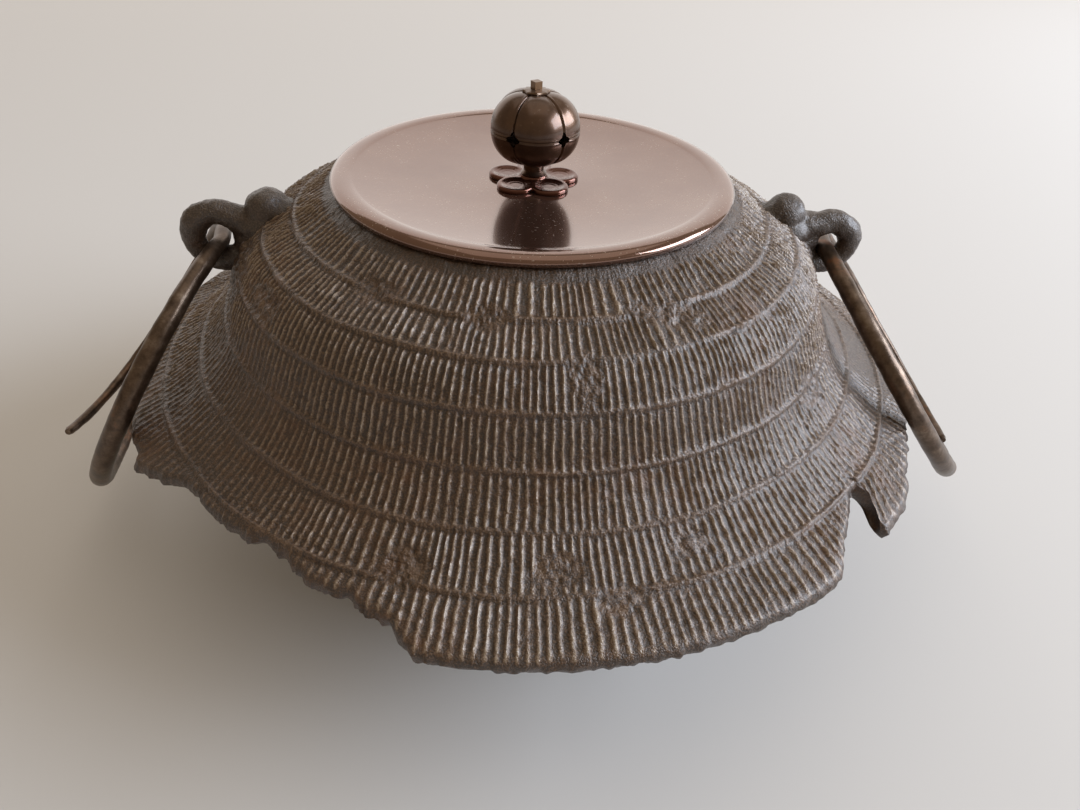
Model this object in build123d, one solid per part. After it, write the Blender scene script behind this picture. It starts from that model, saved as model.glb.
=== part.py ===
from build123d import *
import os
from math import atan2, cos, degrees, hypot, radians, sin

os.makedirs("parts", exist_ok=True)

# Iron tea kettle of the broken flange kind, with bronze lid and two open iron rings.
# Millimetres, +Z up, origin at the centre of the flat bottom, lugs on the X axis.

# Lid and mouth; the lid's top is where its rim begins to roll down
lid_radius = 62.0
lid_top = 130.0
lid_thickness = 2.5
lid_floor_radius = 16.0
lid_dish_depth = 3.4
lid_rim_width = 6.5
lid_rim_crown = 0.5
lid_rim_drop = 0.6
lid_rim_taper = 0.5
lid_seat_gap = 0.1
mouth_radius = 50.0
mouth_depth = 4.6
collar_overhang = 1.5
collar_foot_run = 3.0
collar_foot_drop = 1.9
flange_clearance = 1.5
flange_wall = 2.2
flange_depth = 5.7

# Upper body: straw cords as (share of the way from collar to edge, share of the flange's drop)
cords = [
    (0.17415, 0.16487), (0.31020, 0.25270), (0.42041, 0.40062),
    (0.50340, 0.60247), (0.63129, 0.77966), (0.80272, 0.91063),
]
cord_radius = 1.15
skirt_radius = 134.0
skirt_drop = 64.9
skirt_thickness = 5.2
skirt_edge_round = 1.2
body_wall = 4.6
barrel_drop = 68.0
barrel_step = 1.5

# Bottom pot, set into the barrel with lacquer and iron filings
pot_wall = 3.2
pot_overlap = 10.0
pot_straight = 6.0
base_radius = 54.0
pot_bowl = [(0.187, 0.5), (0.613, 0.16)]
seam_width = 1.0
seam_bead = 3.6

# Lugs: a ball on the shoulder and an iron loop bent out of it, placed in shares like the cords
ball_radius = 6.9
ball_place = (0.30612, 0.21880)
hole_place = (0.52789, 0.36210)
hole_radius = 4.6
loop_tube_radius = 3.8
loop_start_angle = 120.0
loop_end_angle = -112.0
loop_start_tail = 9.0
loop_end_tail = 6.0
lug_root = 1.5

# Rings: open iron rings, tapered, their ends sprung apart
ring_radius = 48.4
ring_top_wire = 2.6
ring_front_wire = 3.2
ring_rear_wire = 1.9
ring_end_wire = 1.6
ring_full_from = 0.35
ring_taper_from = 0.8
ring_end_round = [(0.55, 0.83), (0.95, 0.35)]
ring_front_end = 195.0
ring_rear_end = 188.0
ring_seat_gap = 0.3
ring_step = 13.0

# How each ring lies: steeper than the line to the flange's edge, turned about the upright,
# and the front and rear halves sprung out of the ring's plane
left_lie = {"steeper": 15.6, "turned": 3.0, "front_spring": 11.3, "rear_spring": 27.8}
right_lie = {"steeper": 5.0, "turned": -7.8, "front_spring": 4.3, "rear_spring": 6.4}

# Knob: a hollow five lobed fruit on a five petalled seat
petals = 5
petal_phase = 12.5
petal_radius = 5.9
petal_reach = 8.6
petal_height = 1.5
petal_dish = 0.7
petal_rim = 0.9
petal_round = 0.5
hub_radius = 4.2
hub_height = 2.2
fruit_phase = 20.0
fruit_height = 16.35
lobe_radius = 9.6
lobe_reach = 4.0
lobe_straight = 1.5
fruit_wall = 1.5
fruit_split = -0.5
seam_groove = 0.55
seam_groove_depth = 0.5
star_reach = 2.3
star_waist = 1.1
stalk_radius = 3.3
stalk_gap = 0.1
stalk_into_cup = 2.6
calyx_radius = 3.1
calyx_scallops = 8
scallop_radius = 0.85
calyx_height = 1.7
calyx_sink = 0.8
stub_width = 2.5
stub_height = 2.3
stub_turn = 30.0
pin_radius = 1.5
pin_running_gap = 0.05
washer_radius = 7.0
washer_thickness = 1.0
leg_length = 8.0
leg_thickness = 1.2

# Singing plates, lacquered to the inside of the bottom
plate_count = 5
plate_ring = 24.0
plate_stagger = 3.0
plate_length = 19.0
plate_width = 11.0
plate_thickness = 1.8
plate_turns = [60.0, 149.0, 238.0, 276.0, 5.0]
plate_phase = 11.0

# Breaks in the flange, as (azimuth in degrees, bite into the full radius)
front_left_break = [
    (-104.3, -1), (-105.6, 2.5), (-107.0, 5.1), (-110.0, 7.0), (-113.7, 9.3), (-118.2, 9.5),
    (-121.5, 11.0), (-123.5, 12.8), (-126.5, 13.0), (-130.0, 11.3), (-134.5, 10.7),
    (-140.0, 11.7), (-143.0, 11.1), (-146.0, 8.0), (-149.0, 5.0), (-152.0, 2.0), (-154.5, -1),
]
front_right_break = [
    (-56.5, -1), (-54.0, 2.4), (-50.7, 7.0), (-47.3, 10.7), (-44.3, 13.1), (-42.5, 13.2),
    (-41.9, 11.1), (-42.9, 8.1), (-44.5, 5.3), (-45.3, 2.8), (-45.2, -1),
]
right_chip = [(-36.5, -1), (-33.8, 1.2), (-32.4, 3.1), (-29.2, 2.7), (-27.5, -1)]
back_right_break = [
    (38.0, -1), (41.0, 4.0), (46.0, 6.5), (51.0, 5.5), (55.0, 9.5), (60.0, 10.5), (65.0, 7.0), (69.0, -1),
]
back_left_break = [
    (108.0, -1), (110.0, 5.0), (116.0, 8.5), (122.0, 7.5), (127.0, 11.5), (134.0, 12.0),
    (139.0, 7.0), (144.0, 4.0), (147.0, -1),
]
breaks = [front_left_break, front_right_break, right_chip, back_right_break, back_left_break]
rub_half_width = 9.0
rub_flat_share = 0.7
rub_least_bite = 0.2
rub_search = (40, 160)

# Heights that follow from the sizes above
lid_under = lid_top - lid_thickness
dish_radius = lid_radius - lid_rim_width
dish_floor = lid_top - lid_dish_depth
floor_under = dish_floor - lid_thickness
collar_top = lid_under - lid_seat_gap
collar_radius = lid_radius - collar_overhang
barrel_bottom = lid_top - barrel_drop
edge_top = lid_top - skirt_drop
on_base = (Align.CENTER, Align.CENTER, Align.MIN)


def on_shoulder(place):
    """Reach and height of a place given in shares of the way from collar to edge."""
    across, fall = place
    return (collar_radius + across * (skirt_radius - collar_radius), lid_top - fall * skirt_drop)


ball_reach, ball_height = on_shoulder(ball_place)
hole_reach, hole_height = on_shoulder(hole_place)


def polar(radius, azimuth):
    """A point in plan at a radius and an azimuth in degrees."""
    return (radius * cos(radians(azimuth)), radius * sin(radians(azimuth)))


def shifted(points, distance):
    """The points of an outline moved square to it, outward where distance is above zero."""
    moved = []
    for index, (x, z) in enumerate(points):
        before = points[max(index - 1, 0)]
        after = points[min(index + 1, len(points) - 1)]
        run, rise = after[0] - before[0], after[1] - before[1]
        length = hypot(run, rise)
        moved.append((x - rise / length * distance, z + run / length * distance))
    return moved


# The outer line of the shell, from the collar's foot to the flange's edge
collar_foot = (collar_radius + collar_foot_run, collar_top - collar_foot_drop)
cord_points = [on_shoulder(cord) for cord in cords]
outer_line = [collar_foot] + cord_points + [(skirt_radius - skirt_edge_round, edge_top)]
inner_line = shifted(outer_line, -body_wall)
under_line = shifted(outer_line, -skirt_thickness)
barrel_inner = inner_line[4][0]
barrel_outer = barrel_inner + body_wall
pot_radius = barrel_inner - seam_width
pot_top = barrel_bottom + pot_overlap


def shell_section():
    """Half section of the upper body, with its cords, in the XZ plane."""
    edge_under = under_line[7]
    dome = [(mouth_radius, collar_top - mouth_depth)] + inner_line[1:5]
    underside = [edge_under, under_line[6], under_line[5], (barrel_outer, under_line[5][1] + barrel_step)]
    with BuildSketch(Plane.XZ) as section:
        with BuildLine():
            Line((mouth_radius, collar_top), (collar_radius, collar_top))
            Line((collar_radius, collar_top), collar_foot)
            Spline(*outer_line)
            ThreePointArc(
                outer_line[-1],
                (skirt_radius, (edge_top + edge_under[1]) / 2),
                edge_under,
            )
            Spline(*underside)
            Line(underside[-1], (barrel_outer, barrel_bottom))
            Line((barrel_outer, barrel_bottom), (barrel_inner, barrel_bottom))
            Line((barrel_inner, barrel_bottom), dome[-1])
            Spline(*reversed(dome))
            Line(dome[0], (mouth_radius, collar_top))
        make_face()
        with Locations(*cord_points):
            Circle(cord_radius)
    return section.sketch


def lug_trim():
    """Everything inside the outer line less the depth of the lug's root, as a solid."""
    line = shifted(outer_line, -lug_root)
    with BuildPart() as trim:
        with BuildSketch(Plane.XZ):
            with BuildLine():
                Spline(*line)
                Polyline(line[-1], (0, line[-1][1]), (0, line[0][1]), line[0])
            make_face()
        revolve(axis=Axis.Z)
    return trim.part


def lug(side):
    """A ball and a bent loop in the plane of the kettle's axis, side 1 right or -1 left."""
    loop_radius = hole_radius + loop_tube_radius
    hole = (hole_reach, hole_height)

    def on_loop(angle):
        return (hole[0] + loop_radius * cos(radians(angle)), hole[1] + loop_radius * sin(radians(angle)))

    def tail(angle, length, turn):
        x, z = on_loop(angle)
        return (x - turn * sin(radians(angle)) * length, z + turn * cos(radians(angle)) * length)

    start, end = on_loop(loop_start_angle), on_loop(loop_end_angle)
    start_tail = tail(loop_start_angle, loop_start_tail, 1)
    end_tail = tail(loop_end_angle, loop_end_tail, -1)
    with BuildPart() as piece:
        with BuildLine(Plane.XZ) as path:
            Line(start_tail, start)
            ThreePointArc(start, on_loop((loop_start_angle + loop_end_angle) / 2), end)
            Line(end, end_tail)
        with BuildSketch(Plane(path.line @ 0, z_dir=path.line % 0)):
            Circle(loop_tube_radius)
        sweep()
        with Locations((ball_reach, 0, ball_height)):
            Sphere(ball_radius)
    shape = piece.part - lug_trim()
    if side < 0:
        shape = shape.rotate(Axis.Z, 180)
    return shape


def ring_wire(angle):
    """The ring's wire radius at an angle in degrees from its top, above zero to the front."""
    share = abs(angle) / 180
    if angle < 0:
        radius = ring_top_wire + (ring_rear_wire - ring_top_wire) * min(share * 2, 1)
        return radius + (ring_end_wire - ring_rear_wire) * max(share * 2 - 1, 0)
    if share < ring_full_from:
        return ring_top_wire + (ring_front_wire - ring_top_wire) * share / ring_full_from
    if share < ring_taper_from:
        return ring_front_wire
    last = ring_front_end / 180
    taper = (share - ring_taper_from) / (last - ring_taper_from)
    return ring_front_wire + (ring_end_wire - ring_front_wire) * taper


# A ring hangs by its top in the hole and leans on the flange's edge
ring_axis_height = hole_height - (hole_radius - ring_top_wire - ring_seat_gap)
line_to_edge = degrees(atan2(ring_axis_height - edge_top, skirt_radius - hole_reach))


def ring_point(side, angle):
    """A point of the ring's centre line, side 1 right or -1 left, angle above zero to the front."""
    lie = right_lie if side > 0 else left_lie
    fall, turn = radians(line_to_edge + lie["steeper"]), radians(angle)
    along = ring_radius * (1 - cos(turn))
    lean = lie["front_spring" if angle > 0 else "rear_spring"] * abs(angle) / 180
    out = Vector(along * cos(fall) + lean * sin(fall), -ring_radius * sin(turn), 0)
    out = out.rotate(Axis.Z, lie["turned"])
    height = ring_axis_height - along * sin(fall) + lean * cos(fall)
    return Vector(side * (hole_reach + out.X), out.Y, height)


def open_ring(side):
    """A tapered ring, lofted through round sections, with rounded ends."""
    span = ring_front_end + ring_rear_end
    count = round(span / ring_step)
    cap_angle = degrees(ring_end_wire / ring_radius)
    stations = [-ring_rear_end + span * index / count for index in range(count + 1)]
    sizes = [ring_wire(angle) for angle in stations]
    for share, narrow in ring_end_round:
        stations.insert(0, -ring_rear_end - cap_angle * share)
        sizes.insert(0, ring_end_wire * narrow)
        stations.append(ring_front_end + cap_angle * share)
        sizes.append(ring_end_wire * narrow)
    sections = []
    centre = ring_point(side, 0) + (ring_point(side, 180) - ring_point(side, 0)) * 0.5
    for angle, size in zip(stations, sizes):
        here = ring_point(side, angle)
        ahead = (ring_point(side, angle + 0.5) - ring_point(side, angle - 0.5)).normalized()
        outward = here - centre
        outward = (outward - ahead * outward.dot(ahead)).normalized()
        sections.append(Plane(here, x_dir=outward, z_dir=ahead) * Circle(size))
    return loft(sections)


def rub_break(side, front):
    """Where a ring leans, the flange is worn back so that the ring rests against it."""
    edge_under = under_line[7][1]
    reach, azimuth = 10 * skirt_radius, 0
    for step in range(*rub_search):
        point = ring_point(side, step if front else -step)
        wire = ring_wire(step if front else -step)
        if edge_under - wire < point.Z < edge_top + wire and hypot(point.X, point.Y) - wire < reach:
            reach = hypot(point.X, point.Y) - wire
            azimuth = degrees(atan2(point.Y, point.X))
    bite = max(skirt_radius - reach + ring_seat_gap, rub_least_bite)
    half, flat = rub_half_width, rub_half_width * rub_flat_share
    return [(azimuth - half, -1), (azimuth - flat, bite), (azimuth + flat, bite), (azimuth + half, -1)]


def break_cutter(points):
    """A tall prism outside the broken line of one break."""
    inner = [polar(skirt_radius - bite, azimuth) for azimuth, bite in points]
    far = skirt_radius * 1.25
    outer = [polar(far, points[-1][0]), polar(far, points[0][0])]
    face = make_face(Polyline(*inner, *outer, close=True))
    return extrude(face, lid_top)


def upper_body(lugs):
    shell = revolve(shell_section(), axis=Axis.Z)
    rubs = [rub_break(side, front) for side in (1, -1) for front in (True, False)]
    for points in breaks + rubs:
        shell -= break_cutter(points)
    for piece in lugs:
        shell -= piece
    return shell


def bottom_pot():
    """The replaced bottom, a thin bowl with a flat to stand on."""
    straight_end = barrel_bottom - pot_straight
    bowl_width = pot_radius - base_radius
    bowl = [(pot_radius - inward * bowl_width, up * straight_end) for inward, up in pot_bowl]
    outer = [(pot_radius, straight_end)] + bowl + [(base_radius, 0)]
    inner = [(x - pot_wall * 0.8, z + pot_wall * 0.5) for x, z in bowl]
    floor_edge = (base_radius - pot_wall * 0.6, pot_wall)
    with BuildPart() as pot:
        with BuildSketch(Plane.XZ):
            with BuildLine():
                Line((pot_radius - pot_wall, pot_top), (pot_radius, pot_top))
                Line((pot_radius, pot_top), outer[0])
                Spline(*outer, tangents=[(0, -1), (-1, -0.25)])
                Line(outer[-1], (0, 0))
                Line((0, 0), (0, pot_wall))
                Line((0, pot_wall), floor_edge)
                Spline(
                    floor_edge, *reversed(inner), (pot_radius - pot_wall, straight_end),
                    tangents=[(1, 0.2), (0, 1)],
                )
                Line((pot_radius - pot_wall, straight_end), (pot_radius - pot_wall, pot_top))
            make_face()
        revolve(axis=Axis.Z)
    return pot.part


def bottom_seam():
    """Lacquer and iron filings packed between barrel and pot, with a bead below."""
    with BuildPart() as seam:
        with BuildSketch(Plane.XZ):
            with BuildLine():
                Polyline(
                    (pot_radius, pot_top),
                    (pot_radius, barrel_bottom - seam_bead),
                    (barrel_inner + seam_bead, barrel_bottom),
                    (barrel_inner, barrel_bottom),
                    (barrel_inner, pot_top),
                    close=True,
                )
            make_face()
        revolve(axis=Axis.Z)
    return seam.part


def singing_plates():
    """Small iron plates that ring as the water simmers."""
    plates = []
    for index in range(plate_count):
        x, y = polar(plate_ring + plate_stagger * (index % 2), index * 360 / plate_count + plate_phase)
        plate = Rot(0, 0, plate_turns[index]) * Box(plate_length, plate_width, plate_thickness)
        plates.append(Pos(x, y, pot_wall + plate_thickness / 2) * plate)
    return Compound(children=plates)


def lid_plate():
    """Bronze lid, a shallow dish in a broad rim, with a locating flange below."""
    flange_outer = mouth_radius - flange_clearance
    flange_inner = flange_outer - flange_wall
    flange_bottom = lid_under - flange_depth
    dish_run = dish_radius - lid_floor_radius
    sweep_radius = (dish_run ** 2 + lid_dish_depth ** 2) / (2 * lid_dish_depth)
    under_run = flange_inner - lid_floor_radius
    under_rise = sweep_radius - (sweep_radius ** 2 - under_run ** 2) ** 0.5
    with BuildPart() as lid:
        with BuildSketch(Plane.XZ):
            with BuildLine():
                Line((0, dish_floor), (lid_floor_radius, dish_floor))
                TangentArc((lid_floor_radius, dish_floor), (dish_radius, lid_top), tangent=(1, 0))
                ThreePointArc(
                    (dish_radius, lid_top),
                    (lid_radius - lid_rim_width / 2, lid_top + lid_rim_crown),
                    (lid_radius, lid_top - lid_rim_drop),
                )
                Polyline(
                    (lid_radius, lid_top - lid_rim_drop),
                    (lid_radius - lid_rim_taper, lid_under),
                    (flange_outer, lid_under),
                    (flange_outer, flange_bottom),
                    (flange_inner, flange_bottom),
                    (flange_inner, floor_under + under_rise),
                )
                TangentArc(
                    (lid_floor_radius, floor_under), (flange_inner, floor_under + under_rise), tangent=(1, 0)
                )
                Polyline((lid_floor_radius, floor_under), (0, floor_under), (0, dish_floor))
            make_face()
        revolve(axis=Axis.Z)
        with Locations((0, 0, lid_top)):
            Hole(pin_radius + pin_running_gap)
    return lid.part


def flower_seat():
    """Plum flower washer: five dished petals round a hub."""
    seat = Pos(0, 0, dish_floor) * Cylinder(hub_radius, hub_height, align=on_base)
    hollow = (petal_radius - petal_rim) ** 2 / (2 * petal_dish) + petal_dish / 2
    hollows = []
    for index in range(petals):
        x, y = polar(petal_reach, petal_phase + index * 360 / petals)
        disc = Cylinder(petal_radius, petal_height, align=on_base)
        disc = fillet(disc.edges().group_by(Axis.Z)[-1], petal_round)
        seat += Pos(x, y, dish_floor) * disc
        hollows.append(Pos(x, y, dish_floor + petal_height - petal_dish + hollow) * Sphere(hollow))
    hub = Pos(0, 0, dish_floor) * Cylinder(hub_radius, 2 * hub_height, align=on_base)
    for ball in hollows:
        seat -= ball - hub
    return seat - Pos(0, 0, dish_floor) * Cylinder(pin_radius + pin_running_gap, 4 * hub_height)


fruit_centre = dish_floor + fruit_height


def lobes(radius):
    """Five upright round ended bars round the stem, grown together."""
    end = lobe_straight / 2
    with BuildPart() as bar:
        with BuildSketch(Plane.XZ):
            with BuildLine():
                CenterArc((0, end), radius, 0, 90)
                CenterArc((0, -end), radius, -90, 90)
                Line((radius, -end), (radius, end))
                Line((0, end + radius), (0, -end - radius))
            make_face()
        revolve(axis=Axis.Z)
    body = None
    for index in range(petals):
        x, y = polar(lobe_reach, fruit_phase + (index + 0.5) * 360 / petals)
        lobe = Pos(x, y, fruit_centre) * bar.part
        body = lobe if body is None else body + lobe
    return body


def star_cutters():
    """Four pointed openings where the lobes' seams cross the seam between the two shells."""
    cusps = [(star_reach, 0), (0, star_reach), (-star_reach, 0), (0, -star_reach)]
    mids = [polar(star_waist, 45 + 90 * index) for index in range(4)]
    with BuildSketch() as star:
        with BuildLine():
            for index in range(4):
                ThreePointArc(cusps[index], mids[index], cusps[(index + 1) % 4])
        make_face()
    cutters = []
    for index in range(petals):
        azimuth = fruit_phase + index * 360 / petals
        x, y = polar(lobe_radius * 0.6, azimuth)
        place = Plane((x, y, fruit_centre + fruit_split), x_dir=(-y, x, 0), z_dir=(x, y, 0))
        cutters.append(extrude(place * star.sketch, lobe_radius))
    return cutters


def fruit_shell():
    """The whole hollow fruit before it is parted."""
    shell = lobes(lobe_radius) - lobes(lobe_radius - fruit_wall)
    for cutter in star_cutters():
        shell -= cutter
    return shell


def half_space(above):
    size = 6 * lobe_radius
    centre = fruit_centre + fruit_split + (size / 2 if above else -size / 2)
    return Pos(0, 0, centre) * Box(size, size, size)


def knob_shells():
    """Upper cap and lower cup, with the stalk on the cup."""
    shell = fruit_shell()
    seam_ring = Pos(0, 0, fruit_centre + fruit_split) * (
        Cylinder(2 * lobe_radius, seam_groove)
        - Cylinder(lobe_radius + lobe_reach - seam_groove_depth, seam_groove)
    )
    bore = Pos(0, 0, fruit_centre) * Cylinder(pin_radius, 4 * lobe_radius)
    stalk_bottom = dish_floor + hub_height + stalk_gap
    stalk_length = fruit_centre - lobe_straight / 2 - lobe_radius + stalk_into_cup - stalk_bottom
    stalk = Pos(0, 0, stalk_bottom) * Cylinder(stalk_radius, stalk_length, align=on_base)
    upper = (shell & half_space(True)) - seam_ring - bore
    lower = ((shell & half_space(False)) + stalk) - seam_ring - bore
    return upper, lower


calyx_bottom = fruit_centre + lobe_straight / 2 + (lobe_radius ** 2 - lobe_reach ** 2) ** 0.5
calyx_top = calyx_bottom + calyx_height


def knob_calyx():
    """Scalloped washer on top of the fruit."""
    height = calyx_height + calyx_sink
    foot = calyx_bottom - calyx_sink
    washer = Pos(0, 0, foot) * Cylinder(calyx_radius, height, align=on_base)
    for index in range(calyx_scallops):
        x, y = polar(calyx_radius, index * 360 / calyx_scallops)
        washer += Pos(x, y, foot) * Cylinder(scallop_radius, height, align=on_base)
    return washer - Pos(0, 0, fruit_centre) * Cylinder(pin_radius, 4 * lobe_radius) - lobes(lobe_radius)


def knob_pin():
    """Stem through knob, seat and lid, its split ends bent out under the washer."""
    washer_under = floor_under - stalk_gap - washer_thickness
    pin = Pos(0, 0, washer_under) * Cylinder(pin_radius, calyx_top - washer_under, align=on_base)
    stub = Box(stub_width, stub_width, stub_height, align=on_base)
    pin += Pos(0, 0, calyx_top) * Rot(0, 0, stub_turn) * stub
    for side in (1, -1):
        leg = Box(leg_length, stub_width, leg_thickness)
        pin += Pos(side * leg_length / 2, 0, washer_under - leg_thickness / 2) * leg
    return pin


def back_washer():
    place = Pos(0, 0, floor_under - stalk_gap - washer_thickness)
    washer = place * Cylinder(washer_radius, washer_thickness, align=on_base)
    return washer - place * Cylinder(pin_radius, washer_thickness, align=on_base)


left_lug, right_lug = lug(-1), lug(1)
upper_cap, lower_cup = knob_shells()
nodes = {
    "upper_body": upper_body([left_lug, right_lug]),
    "bottom_pot": bottom_pot(),
    "bottom_seam": bottom_seam(),
    "singing_plates": singing_plates(),
    "left_lug": left_lug,
    "right_lug": right_lug,
    "left_ring": open_ring(-1),
    "right_ring": open_ring(1),
    "lid_plate": lid_plate(),
    "flower_seat": flower_seat(),
    "knob_lower_cup": lower_cup,
    "knob_upper_cap": upper_cap,
    "knob_calyx": knob_calyx(),
    "knob_pin": knob_pin(),
    "lid_back_washer": back_washer(),
}
for name, shape in nodes.items():
    export_step(shape, f"parts/{name}.step")
print("ring hinge height", round(ring_axis_height, 3))
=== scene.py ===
import math
import bpy
import numpy as np
from mathutils import Matrix, Vector


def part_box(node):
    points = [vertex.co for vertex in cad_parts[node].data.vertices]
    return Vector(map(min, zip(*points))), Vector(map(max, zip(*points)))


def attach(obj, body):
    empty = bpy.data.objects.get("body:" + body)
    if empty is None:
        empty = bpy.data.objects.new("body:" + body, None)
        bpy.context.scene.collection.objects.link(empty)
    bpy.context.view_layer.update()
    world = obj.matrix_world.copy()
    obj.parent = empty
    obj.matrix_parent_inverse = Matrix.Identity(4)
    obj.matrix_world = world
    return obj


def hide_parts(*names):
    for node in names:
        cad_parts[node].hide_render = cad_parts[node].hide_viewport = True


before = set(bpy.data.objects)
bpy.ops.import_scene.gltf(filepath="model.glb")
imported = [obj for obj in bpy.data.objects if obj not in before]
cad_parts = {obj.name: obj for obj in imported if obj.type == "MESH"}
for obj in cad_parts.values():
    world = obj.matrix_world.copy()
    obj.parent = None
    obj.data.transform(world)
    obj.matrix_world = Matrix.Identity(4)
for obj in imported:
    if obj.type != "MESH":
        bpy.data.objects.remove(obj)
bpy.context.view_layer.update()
bpy.context.scene.view_settings.view_transform = "Standard"
mm = 0.001


# The shell is one old sand casting in iron: a collar, a fluted shoulder and a broken flange.
# Straw cords run round it and fine ribs stand between them, pressed into the mould by hand.
# Its skin is made in five rings of wall that share their edges, so that each stays light.
collar_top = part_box("upper_body")[1].z
lid_top = collar_top + 2.6 * mm
flange_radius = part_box("upper_body")[1].y
cords = [(73.3, 10.7), (83.3, 16.4), (91.4, 26.0), (97.5, 39.1), (106.9, 50.6), (119.5, 59.1)]
collar_radius = 60.5 * mm
mouth_radius = 50.0 * mm
mouth_depth = 4.6 * mm
wall = 4.6 * mm
flange_thickness = 5.2 * mm
flange_drop = 64.9 * mm
barrel_bottom = lid_top - 68.0 * mm
rib_columns = 2400
row_step = 0.62 * mm
ribs_in_band = [180, 226, 262, 265, 273, 291, 298]
rib_height = 0.66 * mm
cord_height = 0.9 * mm
cord_half_width = 0.85 * mm
# Worn places, as azimuth in degrees, radius, half width, half height and depth in millimetres
worn_places = [
    (-102.6, 73.5, 5.5, 3.4, 0.25), (-84.6, 86.5, 4.0, 6.6, 0.1), (-127.1, 73.0, 6.5, 4.0, 0.3),
    (-64.6, 75.6, 6.0, 3.6, 0.2), (-71.0, 73.0, 4.0, 3.0, 0.2), (-60.5, 78.5, 4.5, 3.0, 0.2),
    (-89.4, 114.1, 6.5, 4.5, 0.3), (-82.7, 121.1, 6.0, 3.6, 0.3), (-108.0, 115.9, 6.0, 5.0, 0.4),
    (-72.0, 112.5, 5.5, 3.4, 0.25), (-38.0, 99.0, 7.0, 6.0, 0.2), (-150.0, 88.7, 9.0, 5.0, 0.2),
    (-171.0, 92.0, 14.0, 10.0, 0.2), (180.0, 93.0, 9.0, 11.0, -1.8), (0.0, 93.0, 9.0, 11.0, -1.8),
    (35.0, 86.0, 8.0, 5.0, 0.3), (62.0, 112.0, 7.0, 5.0, 0.3), (96.0, 90.0, 7.0, 6.0, 0.3),
    (128.0, 109.0, 9.0, 5.0, 0.3), (78.0, 74.0, 6.0, 3.5, 0.2), (150.0, 84.0, 8.0, 4.0, 0.2),
]
# Breaks in the flange, as azimuth in degrees and bite into the full radius in millimetres
flange_bites = [
    (-180, 1.4), (-170, 1.0), (-167, 3.8), (-154, 4.0), (-152, 2.0), (-149, 5.0), (-146, 8.0),
    (-143, 11.1), (-140, 11.7), (-134.5, 10.7), (-130, 11.3), (-126.5, 13.0), (-123.5, 12.8), (-121.5, 11.0),
    (-118.2, 9.5), (-113.7, 9.3), (-110, 7.0), (-107, 5.1), (-105.6, 2.5), (-104.6, 0.0), (-56.5, 0.2),
    (-54, 2.4), (-50.7, 7.0), (-47.3, 10.7), (-44.3, 13.1), (-42.7, 13.2), (-42.2, 9.0), (-41.6, 3.5),
    (-41.0, 0.6), (-36.5, 0.3), (-33.8, 1.4), (-32.4, 3.1), (-29.2, 4.0), (-26, 4.7), (-18, 4.7), (-15, 2.0),
    (-8, 0.8), (0, 1.2), (12, 0.6), (20, 1.0), (30, 0.5), (38.5, 0.2), (41, 4.0), (46, 6.5), (51, 5.5), (55, 9.5),
    (60, 10.5), (65, 7.0), (68.4, 0.2), (108.3, 0.1), (110, 5.0), (116, 8.5), (122, 7.5), (127, 11.5),
    (134, 12.0), (139, 7.0), (144, 4.0), (147, 0.6), (156, 1.0), (166, 0.7), (172, 1.2), (180, 1.4),
]


def linear(code):
    """An sRGB hex colour as linear red, green, blue and alpha."""
    parts = [int(code[i:i + 2], 16) / 255 for i in (1, 3, 5)]
    return [c / 12.92 if c <= 0.04045 else ((c + 0.055) / 1.055) ** 2.4 for c in parts] + [1.0]


def new_material(name):
    material = bpy.data.materials.new(name)
    material.use_nodes = True
    material.node_tree.nodes.clear()
    return material


def add(material, kind, inputs=None, **settings):
    """Adds a shader node with its settings; inputs gives sockets a value or another node's output."""
    node = material.node_tree.nodes.new("ShaderNode" + kind)
    for key, value in settings.items():
        setattr(node, key, value)
    for key, value in (inputs or {}).items():
        if isinstance(value, bpy.types.NodeSocket):
            material.node_tree.links.new(value, node.inputs[key])
        else:
            node.inputs[key].default_value = value
    return node


def ramp(material, factor, stops):
    """A colour ramp on a factor; stops are (place, hex colour or grey level)."""
    node = add(material, "ValToRGB", {"Fac": factor})
    while len(node.color_ramp.elements) < len(stops):
        node.color_ramp.elements.new(0.5)
    for element, (place, colour) in zip(node.color_ramp.elements, stops):
        element.position = place
        element.color = linear(colour) if isinstance(colour, str) else (colour, colour, colour, 1)
    return node.outputs["Color"]


def uneven(azimuth, bumps, along, seed):
    """Smooth noise from 0 to 1, with so many bumps round the kettle and one for each unit along."""
    x = azimuth % 360 / 360 * bumps
    xi, yi = np.floor(x), np.floor(along)
    xf, yf = x - xi, along - yi
    xf, yf = xf * xf * (3 - 2 * xf), yf * yf * (3 - 2 * yf)

    def corner(i, j):
        mixed = np.sin((xi + i) % bumps * 127.1 + (yi + j) * 311.7 + seed * 74.7) * 43758.5453
        return mixed - np.floor(mixed)

    low = corner(0, 0) * (1 - xf) + corner(1, 0) * xf
    high = corner(0, 1) * (1 - xf) + corner(1, 1) * xf
    return low * (1 - yf) + high * yf


def natural_spline(knots, values, places):
    """A cubic through the knots with free ends, as a draughtsman's batten lies."""
    h = np.diff(knots)
    count = len(knots)
    a = np.eye(count)
    b = np.zeros(count)
    for i in range(1, count - 1):
        a[i, i - 1:i + 2] = h[i - 1], 2 * (h[i - 1] + h[i]), h[i]
        b[i] = 6 * ((values[i + 1] - values[i]) / h[i] - (values[i] - values[i - 1]) / h[i - 1])
    m = np.linalg.solve(a, b)
    i = np.clip(np.searchsorted(knots, places) - 1, 0, count - 2)
    left, right = places - knots[i], knots[i + 1] - places
    return (
        (m[i] * right ** 3 + m[i + 1] * left ** 3) / (6 * h[i])
        + (values[i] / h[i] - m[i] * h[i] / 6) * right
        + (values[i + 1] / h[i] - m[i + 1] * h[i] / 6) * left
    )


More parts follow.
